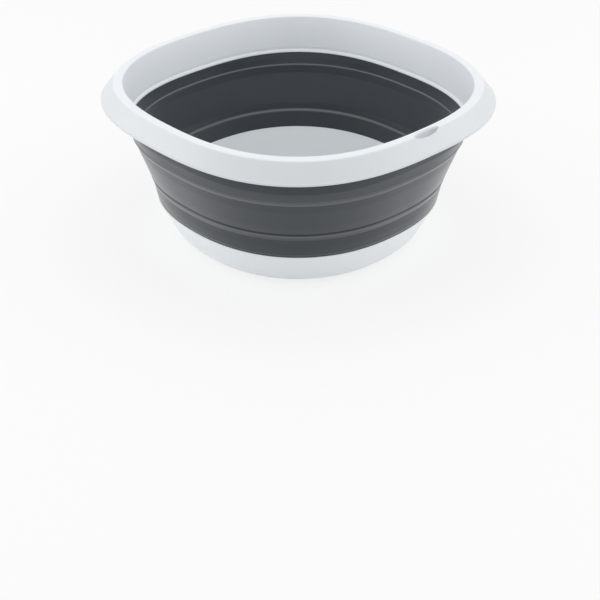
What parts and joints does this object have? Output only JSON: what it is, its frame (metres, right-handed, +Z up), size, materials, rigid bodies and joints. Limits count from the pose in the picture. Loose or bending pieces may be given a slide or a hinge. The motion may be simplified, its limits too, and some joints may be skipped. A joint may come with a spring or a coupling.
{
  "type": "collapsible wash basin",
  "caption": "Rounded-square wash basin with a pale rigid rim and base and a dark soft wall whose middle band folds, so the rim slides down to store it flat.",
  "frame": {"origin": "centre of the underside of the base, on the surface that the basin stands on", "axes": "+Z up along the line that the rim slides on; the four flat sides face +X, -X, +Y and -Y; the hanging slot is in the middle of the -Y side of the rim"},
  "size_m": [0.37, 0.37, 0.166],
  "materials": {
    "pale_plastic": "satin moulded polypropylene, pale cool grey-white",
    "dark_rubber": "matte thermoplastic rubber, dark slate grey"
  },
  "bodies": {
    "base": {"base_dish": "pale_plastic", "lower_band": "dark_rubber"},
    "fold": {"fold_band": "dark_rubber"},
    "rim": {"rim_collar": "pale_plastic", "upper_band": "dark_rubber"}
  },
  "joints": [
    {"name": "rim_collapse", "type": "slide", "parent": "base", "child": "rim", "axis": [0, 0, -1], "range_m": [0, 0.088]},
    {"name": "wall_fold", "type": "slide", "parent": "base", "child": "fold", "axis": [0, 0, -1], "range_m": [0, 0.044]}
  ],
  "couplings": [
    {"joint": "wall_fold", "follows": "rim_collapse", "ratio": 0.5}
  ]
}
